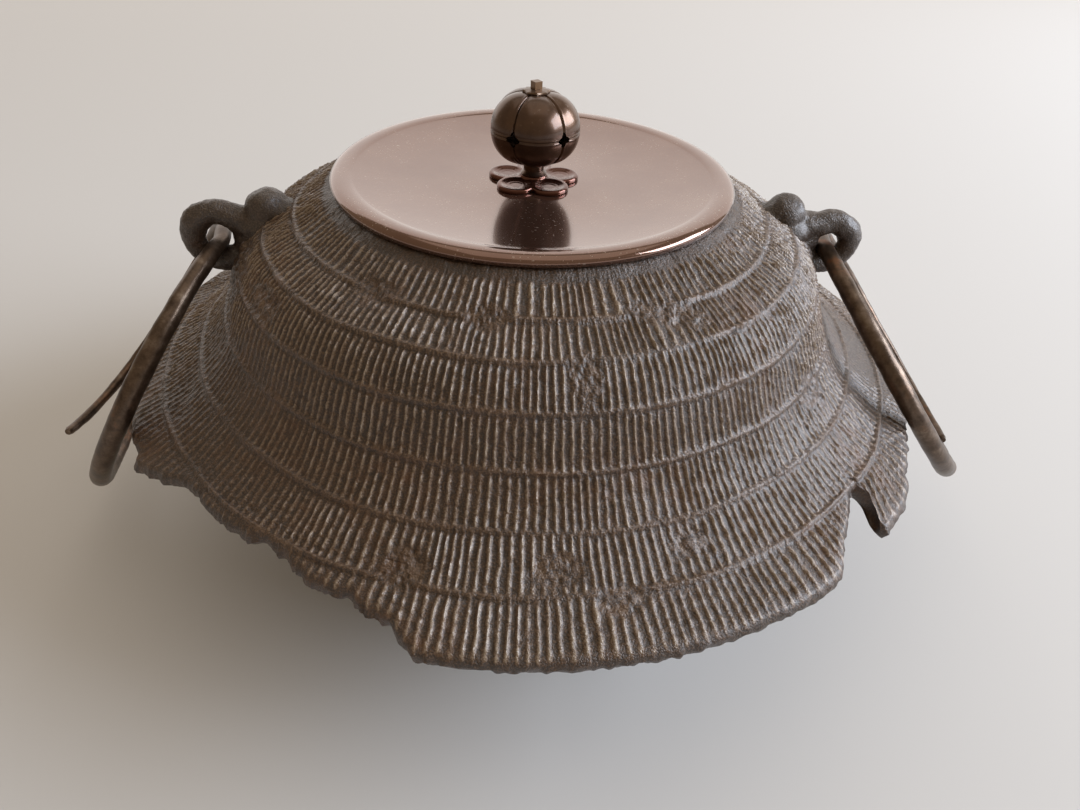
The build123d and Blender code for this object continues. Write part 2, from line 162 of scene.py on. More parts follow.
outer_points = [(collar_radius + 3 * mm, collar_top - 1.9 * mm)]
outer_points += [(radius * mm, lid_top - drop * mm) for radius, drop in cords]
outer_points += [(flange_radius - 1.2 * mm, lid_top - flange_drop)]
outer_points = np.array(outer_points)
knot_run = np.concatenate([[0], np.cumsum(np.hypot(*np.diff(outer_points, axis=0).T))])
cord_runs = knot_run[1:-1]
rows_total = round(knot_run[-1] / row_step)
run = np.linspace(0, knot_run[-1], rows_total + 1)
line = np.stack([natural_spline(knot_run, outer_points[:, k], run) for k in (0, 1)], axis=1)
slope = np.gradient(line, axis=0)
slope /= np.hypot(*slope.T)[:, None]
square = np.stack([-slope[:, 1], slope[:, 0]], axis=1)
bite_azimuth, bite_depth = np.array(flange_bites, float).T


def surface_height(radius):
    return np.interp(radius, line[:, 0], line[:, 1])


def near(azimuth, centre):
    """Angle in degrees from a centre, the short way round."""
    return (azimuth - centre + 180) % 360 - 180


def wear(azimuth, along):
    """How far the ribs are worn away, 0 to 1, and how deep the place is."""
    worn, depth = np.zeros_like(azimuth), np.zeros_like(azimuth)
    ragged = uneven(azimuth, 470, along / (2.5 * mm), 5)
    for centre, radius, half_width, half_height, sink in worn_places:
        here = np.interp(radius * mm, line[:, 0], run)
        across = np.radians(near(azimuth, centre)) * radius / half_width
        up = (along - here) / (half_height * mm)
        share = np.clip(1.5 - (across ** 2 + up ** 2) * (0.6 + 0.9 * ragged), 0, 1)
        worn = np.maximum(worn, share)
        depth += share * sink * mm
    return worn, depth


def faint(azimuth, along):
    """Where the ribs were never sharp: the lower left and right flanks under the rings."""
    low = np.clip((along - cord_runs[2]) / (12 * mm), 0, 1)
    left = np.clip(1.3 - np.abs(near(azimuth, -150)) / 26, 0, 1) * 0.55
    right = np.clip(1.3 - np.abs(near(azimuth, -8)) / 18, 0, 1) * 0.85
    return np.maximum(left, right) * low


def relief(azimuth, along):
    """Height of ribs, cords, wear and sand grain above the plain shell, and the share that is crest, lowered in the
    groove under each cord as painted shade.
    """
    turn = np.radians(azimuth)
    level = 0 * along
    fine = uneven(azimuth, 800, along / (0.9 * mm), 1)
    broad = uneven(azimuth, 72, along / (9 * mm), 2)
    worn, depth = wear(azimuth, along)
    strength = (1 - worn) * (1 - faint(azimuth, along)) * (0.75 + 0.4 * broad)
    height, crest = np.zeros_like(azimuth), np.zeros_like(azimuth)
    band = np.searchsorted(cord_runs, along)
    waver = (uneven(azimuth, 220, along / (4.5 * mm), 3) - 0.5) * 0.15
    for index, count in enumerate(ribs_in_band):
        here = band == index
        spacing = (uneven(azimuth, 40, level + index, 4) - 0.5) * 1.2 + 0.35 * index
        wave = 0.5 + 0.5 * np.cos(turn * count + (spacing + waver) * math.tau)
        rib = wave ** 2.6 * (0.5 + 0.75 * fine)
        height[here] += (rib * strength * rib_height)[here]
        crest[here] += (rib * strength)[here]
    fade = np.clip((along - 0.6 * mm) / (1.6 * mm), 0, 1)
    height, crest = height * fade, crest * fade
    for index, cord in enumerate(cord_runs):
        drift = (uneven(azimuth, 30, level + index, 7) - 0.5) * 0.8 * mm
        drift += (uneven(azimuth, 150, level + index, 8) - 0.5) * 0.12 * mm
        full = 0.75 + 0.3 * uneven(azimuth, 60, level + index * 3, 9)
        full *= np.clip(uneven(azimuth, 40, level + index * 5, 10) * 4 - 0.1, 0.35, 1) * (1 - 0.8 * worn)
        place = along - cord - drift
        rise = np.clip(1 - (place / cord_half_width) ** 2, 0, 1) ** 0.7 * full * (0.92 + 0.16 * fine)
        # A shallow groove under each cord; it also darkens the colour there as painted shade.
        undercut_and_painted_shade = np.exp(-((place - 1.3 * mm) / (0.5 * mm)) ** 2) * full
        gone = np.clip(np.abs(place) / (0.8 * mm), 0, 1)
        height = np.maximum(height * gone - undercut_and_painted_shade * 0.4 * mm, rise * cord_height)
        # Under each cord the crest share is lowered toward the valley colour: painted shade in the groove below the
        # cord.
        crest = np.maximum(crest * gone * (1 - 0.9 * undercut_and_painted_shade), rise * 0.3)
    pits = np.clip(uneven(azimuth, 640, along / (1.5 * mm), 11) - 0.74, 0, 1)
    sand = (fine - 0.5) * 0.2 * mm + (uneven(azimuth, 1200, along / (0.7 * mm), 12) - 0.5) * 0.14 * mm
    scar = (broad - 0.5) * 0.5 * mm
    lumps = worn * (uneven(azimuth, 270, along / (2.4 * mm), 13) + uneven(azimuth, 700, along / (0.9 * mm), 15) - 0.9) * 0.8 * mm
    crest = np.maximum(crest, worn * (0.02 + 0.4 * uneven(azimuth, 520, along / (1.1 * mm), 14)))
    return height - depth - pits * 0.7 * mm + sand + scar + lumps, np.clip(crest - pits * 2, 0, 1)


def edge_bite(azimuth):
    """How far the broken edge lies inside the full flange, ragged all the way round."""
    bite = np.interp(azimuth, bite_azimuth, bite_depth) * mm
    rag = (uneven(azimuth, 260, 0 * azimuth, 20) - 0.5) * 0.9 * mm
    rag += (uneven(azimuth, 800, 0 * azimuth, 21) - 0.5) * 0.5 * mm
    return bite + rag * np.clip(bite / (3 * mm), 0.35, 1.3)


def tooth_lean(azimuth, radius):
    """How many degrees the tooth right of the front notch leans over it, most at its tip."""
    out = np.clip((radius - 120 * mm) / (13 * mm), 0, 1)
    along = np.clip((azimuth + 42.3) / 0.9, 0, 1) * np.clip((-28 - azimuth) / 12, 0, 1)
    return 3.8 * out * out * (3 - 2 * out) * along


def start_fresh():
    """Everything deselected, in object mode."""
    if bpy.context.object and bpy.context.object.mode != "OBJECT":
        bpy.ops.object.mode_set(mode="OBJECT")
    bpy.ops.object.select_all(action="DESELECT")


def spun(name, section, steps, closed=True):
    """A half section in the XZ plane spun round the kettle's axis into a whole ring."""
    start_fresh()
    mesh = bpy.data.meshes.new(name)
    edges = [(i, i + 1) for i in range(len(section) - 1)]
    if closed:
        edges.append((len(section) - 1, 0))
    mesh.from_pydata([(x, 0, z) for x, z in section], edges, [])
    piece = bpy.data.objects.new(name, mesh)
    bpy.context.collection.objects.link(piece)
    bpy.context.view_layer.objects.active = piece
    piece.select_set(True)
    turn = piece.modifiers.new("turn", "SCREW")
    turn.steps = turn.render_steps = steps
    turn.use_merge_vertices = True
    turn.merge_threshold = 0.002 * mm
    bpy.ops.object.modifier_apply(modifier=turn.name)
    bpy.ops.object.mode_set(mode="EDIT")
    bpy.ops.mesh.select_all(action="SELECT")
    bpy.ops.mesh.normals_make_consistent(inside=False)
    bpy.ops.object.mode_set(mode="OBJECT")
    return piece


def points_of(piece):
    places = np.zeros(len(piece.data.vertices) * 3)
    piece.data.vertices.foreach_get("co", places)
    return places.reshape(-1, 3)


def set_points(piece, places):
    piece.data.vertices.foreach_set("co", places.astype(np.float32).ravel())
    piece.data.update()


def smooth(piece, degrees=40):
    start_fresh()
    bpy.context.view_layer.objects.active = piece
    piece.select_set(True)
    bpy.ops.object.shade_smooth_by_angle(angle=math.radians(degrees))


def dress(piece, material, body, slot, *nodes):
    """Material, body and the nodes that the piece stands for; slot is not used."""
    piece.data.materials.clear()
    piece.data.materials.append(material)
    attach(piece, body)
    if nodes:
        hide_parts(*nodes)


def skin_ring(name, first, last, lead=(), tail=()):
    """One ring of the shell's wall between two rows, its outer face carrying the relief."""
    outer = [tuple(p) for p in line[first:last + 1]]
    inner = [tuple(line[i] - square[i] * wall) for i in (last, (first + last) // 2, first)]
    section = list(lead) + outer + (list(tail) if tail else inner if not lead else inner[:2])
    piece = spun(name, section, rib_columns)
    places = points_of(piece)
    radius, height = np.hypot(places[:, 0], places[:, 1]), places[:, 2]
    azimuth = np.degrees(np.arctan2(places[:, 1], places[:, 0]))
    ends = np.array(section)
    row = np.zeros(len(places), int)
    best = np.full(len(places), 1e9)
    for index, (x, z) in enumerate(ends):
        gap = (radius - x) ** 2 + (height - z) ** 2
        row = np.where(gap < best, index, row)
        best = np.minimum(best, gap)
    offset = len(lead)
    on_skin = (row >= offset) & (row <= offset + last - first)
    index = np.clip(row - offset + first, 0, rows_total)
    along = run[index]
    if tail:
        ease = np.clip((radius - line[first, 0]) / (flange_radius - 3 * mm - line[first, 0]), 0, 1)
        bitten = radius - edge_bite(azimuth) * ease ** 1.15
        along = np.interp(bitten, line[:, 0], run)
    lift, crest = relief(azimuth, along)
    lift, crest = lift * on_skin, crest * on_skin
    if tail:
        lift = lift * np.clip((rows_total - index) * row_step / (1.6 * mm), 0.3, 1)
        height = height + surface_height(bitten) - surface_height(radius)
        under = ~on_skin & (row > offset + last - first)
        chipped = (uneven(azimuth, 450, row * 1.0, 22) - 0.5) * 0.9 * mm
        bitten = bitten + np.where(under, chipped, 0)
        azimuth = azimuth - tooth_lean(azimuth, bitten)
        radius = bitten
    if lead:
        rough = (uneven(azimuth, 144, row * 0.9, 23) - 0.5) * 0.6 * mm
        rough += (uneven(azimuth, 700, row * 1.0, 24) - 0.5) * 0.3 * mm
        lift = np.where((row > 1) & (row < offset), rough, lift)
    radius = radius + lift * square[index, 0]
    height = height + lift * square[index, 1]
    turn = np.radians(azimuth)
    set_points(piece, np.stack([radius * np.cos(turn), radius * np.sin(turn), height], axis=1))
    piece.data.attributes.new("crest", "FLOAT", "POINT").data.foreach_set("value", crest.astype(np.float32))
    smooth(piece, 60)
    return piece


def cast_iron(name, valley, middle, top, rust, with_crest=True):
    """Sand cast iron, brown with age and seasoned with lacquer, which gives it a cool broken gloss.
    Its skin is sandy, a third of a millimetre to a grain, and its crests are rubbed a little greyer."""
    material = new_material(name)
    place = add(material, "TexCoord").outputs["Object"]
    grain = add(material, "TexNoise", {"Vector": place, "Scale": 1900.0, "Detail": 2.0, "Roughness": 0.6})
    patch = add(material, "TexNoise", {"Vector": place, "Scale": 38.0, "Detail": 5.0, "Roughness": 0.65})
    spot = add(material, "TexNoise", {"Vector": place, "Scale": 230.0, "Detail": 3.0, "Roughness": 0.7})
    speck = grain.outputs["Fac"]
    if with_crest:
        crest = add(material, "Attribute", attribute_name="crest").outputs["Fac"]
        speckled = add(material, "Math", {0: speck, 1: 1.5, 2: -0.72}, operation="MULTIPLY_ADD")
        level = add(material, "Math", {0: crest, 1: speckled.outputs[0]}, operation="ADD", use_clamp=True)
    else:
        level = add(material, "Math", {0: speck, 1: 1.6, 2: -0.5}, operation="MULTIPLY_ADD", use_clamp=True)
    level = level.outputs[0]
    colour = ramp(material, level, [(0.0, valley), (0.35, middle), (0.9, top)])
    rusty = ramp(material, patch.outputs["Fac"], [(0.45, 0.0), (0.7, 1.0)])
    spotted = ramp(material, spot.outputs["Fac"], [(0.4, 0.0), (0.7, 1.0)])
    share = add(material, "Math", {0: rusty, 1: spotted}, operation="MULTIPLY")
    share = add(material, "Math", {0: share.outputs[0], 1: 0.5}, operation="MULTIPLY")
    mixed = add(material, "MixRGB", {"Fac": share.outputs[0], "Color1": colour, "Color2": linear(rust)})
    rough = add(material, "MapRange", {"Value": level, "To Min": 0.5, "To Max": 0.26})
    bump = add(material, "Bump", {"Height": speck, "Strength": 1.0, "Distance": 0.4 * mm})
    shader = add(material, "BsdfPrincipled", {
        "Base Color": mixed.outputs[0], "Metallic": 0.1, "Roughness": rough.outputs[0],
        "Specular IOR Level": 0.8, "Normal": bump.outputs[0], "Coat Weight": 0.25, "Coat Roughness": 0.25,
    })
    add(material, "OutputMaterial", {"Surface": shader.outputs[0]})
    return material


old_iron = cast_iron("sand_cast_iron", "#2E1F13", "#5A422D", "#8E7D6A", "#704722")
fifths = [rows_total * share // 5 for share in range(6)]
mouth_lead = [
    (mouth_radius, collar_top - mouth_depth), (mouth_radius, collar_top - 0.6 * mm),
    (mouth_radius + 0.6 * mm, collar_top), (57 * mm, collar_top), (collar_radius, collar_top - 0.1 * mm),
    (collar_radius + 1.2 * mm, collar_top - 0.7 * mm), (collar_radius + 2.2 * mm, collar_top - 1.3 * mm),
]
skins = [skin_ring("shell_shoulder", fifths[0], fifths[1], lead=mouth_lead)]
for index, name in ((1, "shell_upper_flank"), (2, "shell_middle_flank"), (3, "shell_lower_flank")):
    skins.append(skin_ring(name, fifths[index], fifths[index + 1]))
edge = line[-1]
under_edge = edge - square[-1] * flange_thickness
lip = [
    (flange_radius - 0.3 * mm, edge[1] - 1.0 * mm), (flange_radius, edge[1] - 2.2 * mm),
    (flange_radius - 0.4 * mm, edge[1] - 3.6 * mm), (flange_radius - 1.3 * mm, edge[1] - 4.6 * mm),
]
under_rows = np.linspace(rows_total, fifths[4], 4).round().astype(int)
underside = [tuple(line[i] - square[i] * flange_thickness) for i in under_rows]
skins.append(skin_ring("shell_flange", fifths[4], rows_total, tail=lip + underside))
for skin in skins:
    dress(skin, old_iron, "kettle", "cast_iron", "upper_body")

# The barrel is the stump of the old kettle's belly, left inside and below the flange.
# It is the same casting as the shell, smooth, and the new bottom is set into it.
barrel_inner = (line[np.searchsorted(run, cord_runs[3])] - square[np.searchsorted(run, cord_runs[3])] * wall)[0]
barrel_outer = barrel_inner + wall
under_flank = line[np.searchsorted(run, cord_runs[4])] - square[np.searchsorted(run, cord_runs[4])] * flange_thickness
barrel_section = [
    (barrel_inner, lid_top - 40 * mm), (barrel_outer, lid_top - 44 * mm), (under_flank[0], under_flank[1] + 1 * mm),
    (under_flank[0] - 1.5 * mm, under_flank[1] - 0.6 * mm), (barrel_outer + 1.5 * mm, under_flank[1] - 1.2 * mm),
    (barrel_outer, under_flank[1] - 3.5 * mm), (barrel_outer, barrel_bottom + 0.6 * mm),
    (barrel_outer - 0.6 * mm, barrel_bottom), (barrel_inner, barrel_bottom),
]
barrel = spun("shell_barrel", barrel_section, 192)
smooth(barrel, 35)
dark_iron = cast_iron("sooted_cast_iron", "#1E1A17", "#2C2723", "#453F3A", "#4A3020", with_crest=False)
dress(barrel, dark_iron, "kettle", "cast_iron")

# The replaced bottom, its seam of lacquer and filings and the singing plates keep their CAD shape.
# They are hidden in use: sooted iron below, and black lacquer in the joint.
for name in ("bottom_pot", "singing_plates"):
    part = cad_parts[name]
    part.data.materials.clear()
    part.data.materials.append(dark_iron)
seam_lacquer = new_material("lacquer_with_iron_filings")
seam_place = add(seam_lacquer, "TexCoord").outputs["Object"]
seam_grain = add(seam_lacquer, "TexNoise", {"Vector": seam_place, "Scale": 900.0, "Detail": 4.0})
seam_colour = ramp(seam_lacquer, seam_grain.outputs["Fac"], [(0.3, "#15100E"), (0.75, "#33261F")])
seam_bump = add(seam_lacquer, "Bump", {"Height": seam_grain.outputs["Fac"], "Strength": 0.5, "Distance": 0.3 * mm})
seam_shader = add(seam_lacquer, "BsdfPrincipled", {
    "Base Color": seam_colour, "Roughness": 0.45, "Normal": seam_bump.outputs[0],
})
add(seam_lacquer, "OutputMaterial", {"Surface": seam_shader.outputs[0]})
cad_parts["bottom_seam"].data.materials.clear()
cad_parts["bottom_seam"].data.materials.append(seam_lacquer)

# Each lug is a ball and a loop of iron cast by itself, then set in the mould so the shell grips its root.
# The loop is bent by hand: thick, uneven, and closed down on the wall below the hole.
ball_radius = 6.9 * mm
ball_reach = 83.0 * mm
ball_drop = 14.2 * mm
hole_reach = 99.3 * mm
hole_drop = 23.5 * mm
loop_radius = 8.4 * mm
loop_thickness = 3.8 * mm


def tube(name, points, radii, resolution=10, cap=True):
    """A round bar through points with its own radius at each, as a mesh."""
    curve = bpy.data.curves.new(name, "CURVE")
    curve.dimensions = "3D"
    curve.bevel_depth = 1.0
    curve.bevel_resolution = resolution
    curve.use_fill_caps = cap
    spline = curve.splines.new("POLY")
    spline.points.add(len(points) - 1)
    for point, place, radius in zip(spline.points, points, radii):
        point.co = (*place, 1)
        point.radius = radius
    source = bpy.data.objects.new(name + "_line", curve)
    bpy.context.collection.objects.link(source)
    bpy.context.view_layer.update()
    mesh = bpy.data.meshes.new_from_object(source.evaluated_get(bpy.context.evaluated_depsgraph_get()))
    bpy.data.objects.remove(source)
    mesh.name = name
    piece = bpy.data.objects.new(name, mesh)
    bpy.context.collection.objects.link(piece)
    return piece


def roughen(piece, size, depth, kind="CLOUDS", noise_depth=2):
    """Uneven surface from a cloud texture, applied."""
    texture = bpy.data.textures.new(piece.name + "_unevenness", kind)
    texture.noise_scale = size
    if kind == "CLOUDS":
        texture.noise_depth = noise_depth
    start_fresh()
    bpy.context.view_layer.objects.active = piece
    piece.select_set(True)
    change = piece.modifiers.new("unevenness", "DISPLACE")
    change.texture = texture
    change.texture_coords = "LOCAL"
    change.strength = depth
    change.mid_level = 0.5
    bpy.ops.object.modifier_apply(modifier=change.name)


def grown_together(pieces, name, voxel, smoothing):
    """Several closed pieces joined, remeshed as one skin and smoothed."""
    start_fresh()
    for piece in pieces:
        piece.select_set(True)
    bpy.context.view_layer.objects.active = pieces[0]
    bpy.ops.object.join()
    whole = bpy.context.view_layer.objects.active
    whole.name = name
    whole.data.name = name
    remesh = whole.modifiers.new("skin", "REMESH")
    remesh.mode = "VOXEL"
    remesh.voxel_size = voxel
    bpy.ops.object.modifier_apply(modifier=remesh.name)
    ease = whole.modifiers.new("ease", "SMOOTH")
    ease.iterations = smoothing
    bpy.ops.object.modifier_apply(modifier=ease.name)
    return whole


def lug(side, name, rise, fill):
    """Bar, ball and root grown together; rise is the loop's height over the hole, fill the iron inside it."""
    hole = Vector((hole_reach, 0, lid_top - hole_drop))
    path, radii = [], []
    path += [Vector((ball_reach + 3 * mm, 0, lid_top - 21 * mm)), Vector((91 * mm, 0, lid_top - 17.6 * mm))]
    radii += [5.4 * mm, 4.9 * mm]
    for angle in range(112, -121, -8):
        turn = math.radians(angle)
        stand = rise if angle > 0 else 7.4 * mm
        path.append(hole + Vector((math.cos(turn) * loop_radius, 0, math.sin(turn) * stand)))
        radii.append(loop_thickness * (1.0 + 0.08 * math.sin(angle * 0.05) + 0.12 * max(angle, 0) / 112))
    path += [Vector((92 * mm, 0, lid_top - 30.4 * mm))]
    radii += [4.4 * mm]
    bar = tube(name + "_bar", path, radii)
    pieces = [bar]
    swells = [
        (ball_reach, lid_top - ball_drop + 0.6 * mm, 6.9 * mm, 6.4 * mm),
        (ball_reach - 4 * mm, lid_top - ball_drop - 0.4 * mm, 6.6 * mm, 4.2 * mm),
        (ball_reach + 1 * mm, lid_top - ball_drop - 5 * mm, 8.6 * mm, 6.0 * mm),
        (88.6 * mm, lid_top - 24.4 * mm, 5.6 * mm, 7.0 * mm),
        (92.6 * mm, lid_top - 23.2 * mm, fill, 6.4 * mm),
    ]
    for reach, height, radius, tall in swells:
        start_fresh()
        bpy.ops.mesh.primitive_uv_sphere_add(segments=40, ring_count=24, radius=1, location=(0, 0, 0))
        ball = bpy.context.object
        ball.data.transform(Matrix.Translation((reach, 0, height)) @ Matrix.Diagonal((radius, radius * 0.96, tall, 1)))
        pieces.append(ball)
    whole = grown_together(pieces, name, 0.65 * mm, 7)
    if side < 0:
        whole.data.transform(Matrix.Rotation(math.pi, 4, "Z"))
    roughen(whole, 6 * mm, 1.3 * mm)
    roughen(whole, 1.4 * mm, 0.35 * mm)
    smooth(whole, 60)
    return whole


lug_iron = cast_iron("lug_cast_iron", "#20160F", "#3A2A1D", "#675A4C", "#58381C", with_crest=False)
dress(lug(-1, "lug_left", 8.4 * mm, 2.6 * mm), lug_iron, "kettle", "cast_iron", "left_lug")
dress(lug(1, "lug_right", 7.0 * mm, 4.2 * mm), lug_iron, "kettle", "cast_iron", "right_lug")

# The rings are bars of forged iron, drawn down to thin ends and bent open so that they thread the lugs.
# They are black from the fire, polished by hands in the middle and rusty where they rub the flange.
ring_radius = 48.4 * mm
ring_front_end = 195
ring_rear_end = 188
ring_axis = lid_top - hole_drop - 1.7 * mm
# How each ring lies: its fall below level, its turn about the upright, and how far each half is sprung
ring_lies = {-1: (64.45, 3.0, 11.3 * mm, 27.8 * mm), 1: (53.85, -7.8, 4.3 * mm, 6.4 * mm)}


def ring_place(side, angle):
    fall, turned, front_spring, rear_spring = ring_lies[side]
    fall, turned, turn = math.radians(fall), math.radians(turned), math.radians(angle)
    along = ring_radius * (1 - math.cos(turn))
    lean = (front_spring if angle > 0 else rear_spring) * abs(angle) / 180
    out = along * math.cos(fall) + lean * math.sin(fall)
    across = -ring_radius * math.sin(turn)
    reach = hole_reach + out * math.cos(turned) - across * math.sin(turned)
    across = out * math.sin(turned) + across * math.cos(turned)
    return Vector((side * reach, across, ring_axis - along * math.sin(fall) + lean * math.cos(fall)))


def ring_wire(angle):
    front = [(0, 2.6), (63, 3.2), (144, 3.2), (200, 1.65), (203, 1.5)]
    rear = [(0, 2.6), (90, 1.9), (180, 1.62), (186, 1.55)]
    table = front if angle >= 0 else rear
    return float(np.interp(abs(angle), *zip(*table))) * mm


def ring(side, name):
    angles = list(np.linspace(-ring_rear_end, ring_front_end, 240))
    places = [ring_place(side, a) for a in angles]
    radii = [ring_wire(a) for a in angles]
    for end in (0, -1):
        radii[end] *= 0.72
    piece = tube(name, places, radii, resolution=8)
    roughen(piece, 7 * mm, 0.45 * mm)
    roughen(piece, 1.6 * mm, 0.16 * mm)
    smooth(piece, 60)
    return piece


def forged_iron(name):
    """Forged iron with a black scale, hammered flats, and orange rust where the scale is gone."""
    material = new_material(name)
    place = add(material, "TexCoord").outputs["Object"]
    scale = add(material, "TexNoise", {"Vector": place, "Scale": 170.0, "Detail": 6.0, "Roughness": 0.7})
    broad = add(material, "TexNoise", {"Vector": place, "Scale": 26.0, "Detail": 3.0})
    colour = ramp(material, scale.outputs["Fac"], [(0.3, "#382C24"), (0.55, "#655548"), (0.8, "#948678")])
    rub = ramp(material, broad.outputs["Fac"], [(0.5, 0.0), (0.6, 1.0)])
    spots = ramp(material, scale.outputs["Fac"], [(0.5, 0.0), (0.62, 1.0)])
    share = add(material, "Math", {0: rub, 1: spots}, operation="MULTIPLY")
    share = add(material, "Math", {0: share.outputs[0], 1: 0.75}, operation="MULTIPLY")
    mixed = add(material, "MixRGB", {"Fac": share.outputs[0], "Color1": colour, "Color2": linear("#7A4A2A")})
    rough = add(material, "MapRange", {"Value": scale.outputs["Fac"], "To Min": 0.24, "To Max": 0.46})
    bump = add(material, "Bump", {"Height": scale.outputs["Fac"], "Strength": 0.35, "Distance": 0.4 * mm})
    shader = add(material, "BsdfPrincipled", {
        "Base Color": mixed.outputs[0], "Metallic": 0.75, "Roughness": rough.outputs[0],
        "Normal": bump.outputs[0],
    })
    add(material, "OutputMaterial", {"Surface": shader.outputs[0]})
    return material


ring_iron = forged_iron("forged_iron")
dress(ring(-1, "ring_left"), ring_iron, "ring_left", "forged_iron", "left_ring")
dress(ring(1, "ring_right"), ring_iron, "ring_right", "forged_iron", "right_ring")

# The lid is one bronze casting, a shallow dish in a broad low rim, turned and polished.
# Long heating has given it a red brown patina under a gloss like still water; dust lies on it.
lid_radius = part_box("lid_plate")[1].x
lid_under = lid_top - 2.5 * mm
dish_floor = lid_top - 3.4 * mm
floor_radius = 16 * mm
dish_radius = lid_radius - 6.5 * mm
flange_outer = mouth_radius - 1.5 * mm
flange_inner = flange_outer - 2.2 * mm
flange_bottom = lid_under - 5.7 * mm
pin_hole = 1.55 * mm
dish_sweep = ((dish_radius - floor_radius) ** 2 + (lid_top - dish_floor) ** 2) / (2 * (lid_top - dish_floor))


def dish_height(radius):
    """Rise of the dish above its floor."""
    reach = max(radius - floor_radius, 0)
    return dish_sweep - math.sqrt(dish_sweep ** 2 - reach ** 2)


lid_section = [(pin_hole, dish_floor), (8 * mm, dish_floor)]
lid_section += [(r, dish_floor + dish_height(r)) for r in np.linspace(floor_radius, dish_radius - 0.5 * mm, 26)]
lid_section += [
    (dish_radius, lid_top + 0.02 * mm), (dish_radius + 0.5 * mm, lid_top + 0.2 * mm),
    (lid_radius - 4.6 * mm, lid_top + 0.42 * mm), (lid_radius - 3.2 * mm, lid_top + 0.5 * mm),
    (lid_radius - 2.0 * mm, lid_top + 0.4 * mm), (lid_radius - 1.1 * mm, lid_top + 0.1 * mm),
    (lid_radius - 0.45 * mm, lid_top - 0.35 * mm), (lid_radius - 0.08 * mm, lid_top - 0.9 * mm),
    (lid_radius - 0.05 * mm, lid_top - 1.4 * mm), (lid_radius - 0.4 * mm, lid_under + 0.15 * mm),
    (lid_radius - 0.7 * mm, lid_under), (flange_outer + 0.4 * mm, lid_under),
    (flange_outer, lid_under - 0.4 * mm), (flange_outer, flange_bottom + 0.3 * mm),
    (flange_outer - 0.3 * mm, flange_bottom), (flange_inner + 0.3 * mm, flange_bottom),
    (flange_inner, flange_bottom + 0.3 * mm),
]
under_radii = [flange_inner] + list(np.linspace(flange_inner - 1 * mm, floor_radius, 14))
lid_section += [(r, dish_floor + dish_height(r) - 2.5 * mm) for r in under_radii]
lid_section += [(pin_hole, dish_floor - 2.5 * mm)]
lid = spun("lid", lid_section, 288)
smooth(lid, 32)


def patinated_bronze(name, dark, light, roughness, dust, coat):
    """Bronze with a heat patina: dark red brown, a clear gloss over it, and specks of dust or wear."""
    material = new_material(name)
    place = add(material, "TexCoord").outputs["Object"]
    cloud = add(material, "TexNoise", {"Vector": place, "Scale": 60.0, "Detail": 4.0, "Roughness": 0.6})
    colour = ramp(material, cloud.outputs["Fac"], [(0.3, dark), (0.7, light)])
    fleck = add(material, "TexNoise", {"Vector": place, "Scale": 1300.0, "Detail": 1.0})
    flecks = ramp(material, fleck.outputs["Fac"], [(0.67, 0.0), (0.71, 1.0)])
    region = ramp(material, cloud.outputs["Fac"], [(0.45, 0.1), (0.7, 1.0)])
    share = add(material, "Math", {0: flecks, 1: region}, operation="MULTIPLY")
    share = add(material, "Math", {0: share.outputs[0], 1: dust}, operation="MULTIPLY")
    mixed = add(material, "MixRGB", {"Fac": share.outputs[0], "Color1": colour, "Color2": linear("#BFB2A8")})
    wave = add(material, "TexNoise", {"Vector": place, "Scale": 45.0, "Detail": 1.0})
    hollow = add(material, "Bump", {"Height": wave.outputs["Fac"], "Strength": 0.12, "Distance": 0.25 * mm})
    turned = add(
        material, "TexWave", {"Vector": place, "Scale": 420.0, "Distortion": 1.5, "Detail": 1.0},
        wave_type="RINGS", rings_direction="Z",
    )
    bump = add(material, "Bump", {
        "Height": turned.outputs["Fac"], "Strength": 0.25, "Distance": 0.01 * mm, "Normal": hollow.outputs[0],
    })
    rough = add(material, "MapRange", {"Value": share.outputs[0], "To Min": roughness, "To Max": 0.7})
    shader = add(material, "BsdfPrincipled", {
        "Base Color": mixed.outputs[0], "Metallic": 0.85, "Roughness": rough.outputs[0],
        "Normal": bump.outputs[0], "Coat Weight": coat, "Coat Roughness": 0.06,
    })
    add(material, "OutputMaterial", {"Surface": shader.outputs[0]})
    return material


lid_bronze = patinated_bronze("red_brown_patinated_bronze", "#74564A", "#7E6153", 0.12, 0.9, 0.75)
dress(lid, lid_bronze, "lid", "lid_bronze", "lid_plate")

# The knob's seat is a plum flower of five dished petals, cast in bronze and chased round their rims.
# It lies loose on the lid and is held by the knob's pin.
petal_phase = 12.5
petal_radius = 5.9 * mm
petal_reach = 8.6 * mm
petal_height = 1.5 * mm
hub_radius = 4.2 * mm
hub_height = 2.2 * mm


def petal(index):
    start_fresh()
    bpy.ops.mesh.primitive_circle_add(vertices=64, radius=petal_radius, fill_type="NGON", location=(0, 0, 0))
    piece = bpy.context.object
    bpy.ops.object.mode_set(mode="EDIT")
    bpy.ops.mesh.select_all(action="SELECT")
    steps = [(0.0, 0.3), (0.2, 0.3), (0.3, 0.14), (0.4, 0.0), (0.4, -0.16), (0.5, -0.24), (0.8, -0.24), (1.1, -0.12)]
    bpy.ops.mesh.extrude_region_move(TRANSFORM_OT_translate={"value": (0, 0, petal_height - 0.74 * mm)})
    for inset, rise in steps:
        if inset:
            bpy.ops.mesh.inset(thickness=inset * mm, depth=0)
        bpy.ops.mesh.extrude_region_move(TRANSFORM_OT_translate={"value": (0, 0, rise * mm)})
    bpy.ops.object.mode_set(mode="OBJECT")
    angle = math.radians(petal_phase + index * 72)
    piece.data.transform(Matrix.Translation((petal_reach * math.cos(angle), petal_reach * math.sin(angle), dish_floor)))
    return piece


